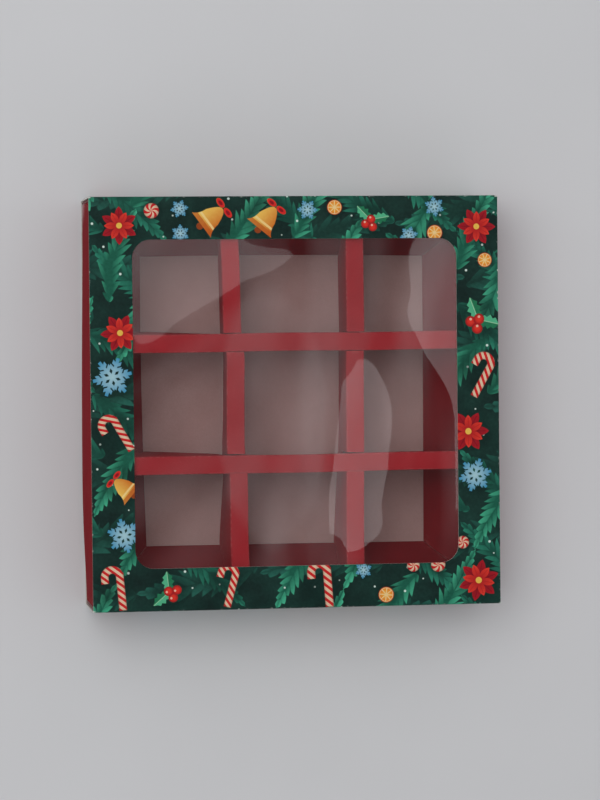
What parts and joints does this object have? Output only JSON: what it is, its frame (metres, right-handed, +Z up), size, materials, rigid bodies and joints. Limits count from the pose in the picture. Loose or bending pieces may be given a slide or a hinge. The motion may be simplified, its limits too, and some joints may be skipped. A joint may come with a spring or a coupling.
{
  "type": "mithai sweet box",
  "caption": "Square card sweet box: a divided tray with sloping hollow walls slides sideways out of a printed sleeve with a clear film window.",
  "frame": {"origin": "under the middle of the sleeve, on the surface that the box rests on", "axes": "+Z up through the window, +X the way the tray slides, +Y towards the back panel"},
  "size_m": [0.145, 0.145, 0.035],
  "materials": {
    "printed_card": "satin",
    "red_card": "satin",
    "bare_board": "matte",
    "film": "gloss",
    "glue": "satin"
  },
  "bodies": {
    "sleeve": {"sleeve_top_panel": "printed_card", "sleeve_base_panel": "printed_card", "sleeve_front_panel": "printed_card", "sleeve_back_panel": "printed_card", "sleeve_glue_flap": "printed_card", "sleeve_seam_glue": "glue", "window_film": "film", "window_film_glue": "glue"},
    "tray": {"tray_base": "bare_board", "tray_corner_tabs": "red_card", "tray_corner_glue": "glue", "tray_foot_glue": "glue", "cross_divider_left": "red_card", "cross_divider_right": "red_card", "long_divider_front": "red_card", "long_divider_back": "red_card", "tray_outer_wall_left": "red_card", "tray_inner_wall_left": "red_card", "tray_outer_wall_right": "red_card", "tray_inner_wall_right": "red_card", "tray_outer_wall_front": "red_card", "tray_inner_wall_front": "red_card", "tray_outer_wall_back": "red_card", "tray_inner_wall_back": "red_card"}
  },
  "joints": [
    {"name": "tray_slide", "type": "slide", "parent": "sleeve", "child": "tray", "axis": [1, 0, 0], "range_m": [-0.15, 0.15]}
  ]
}
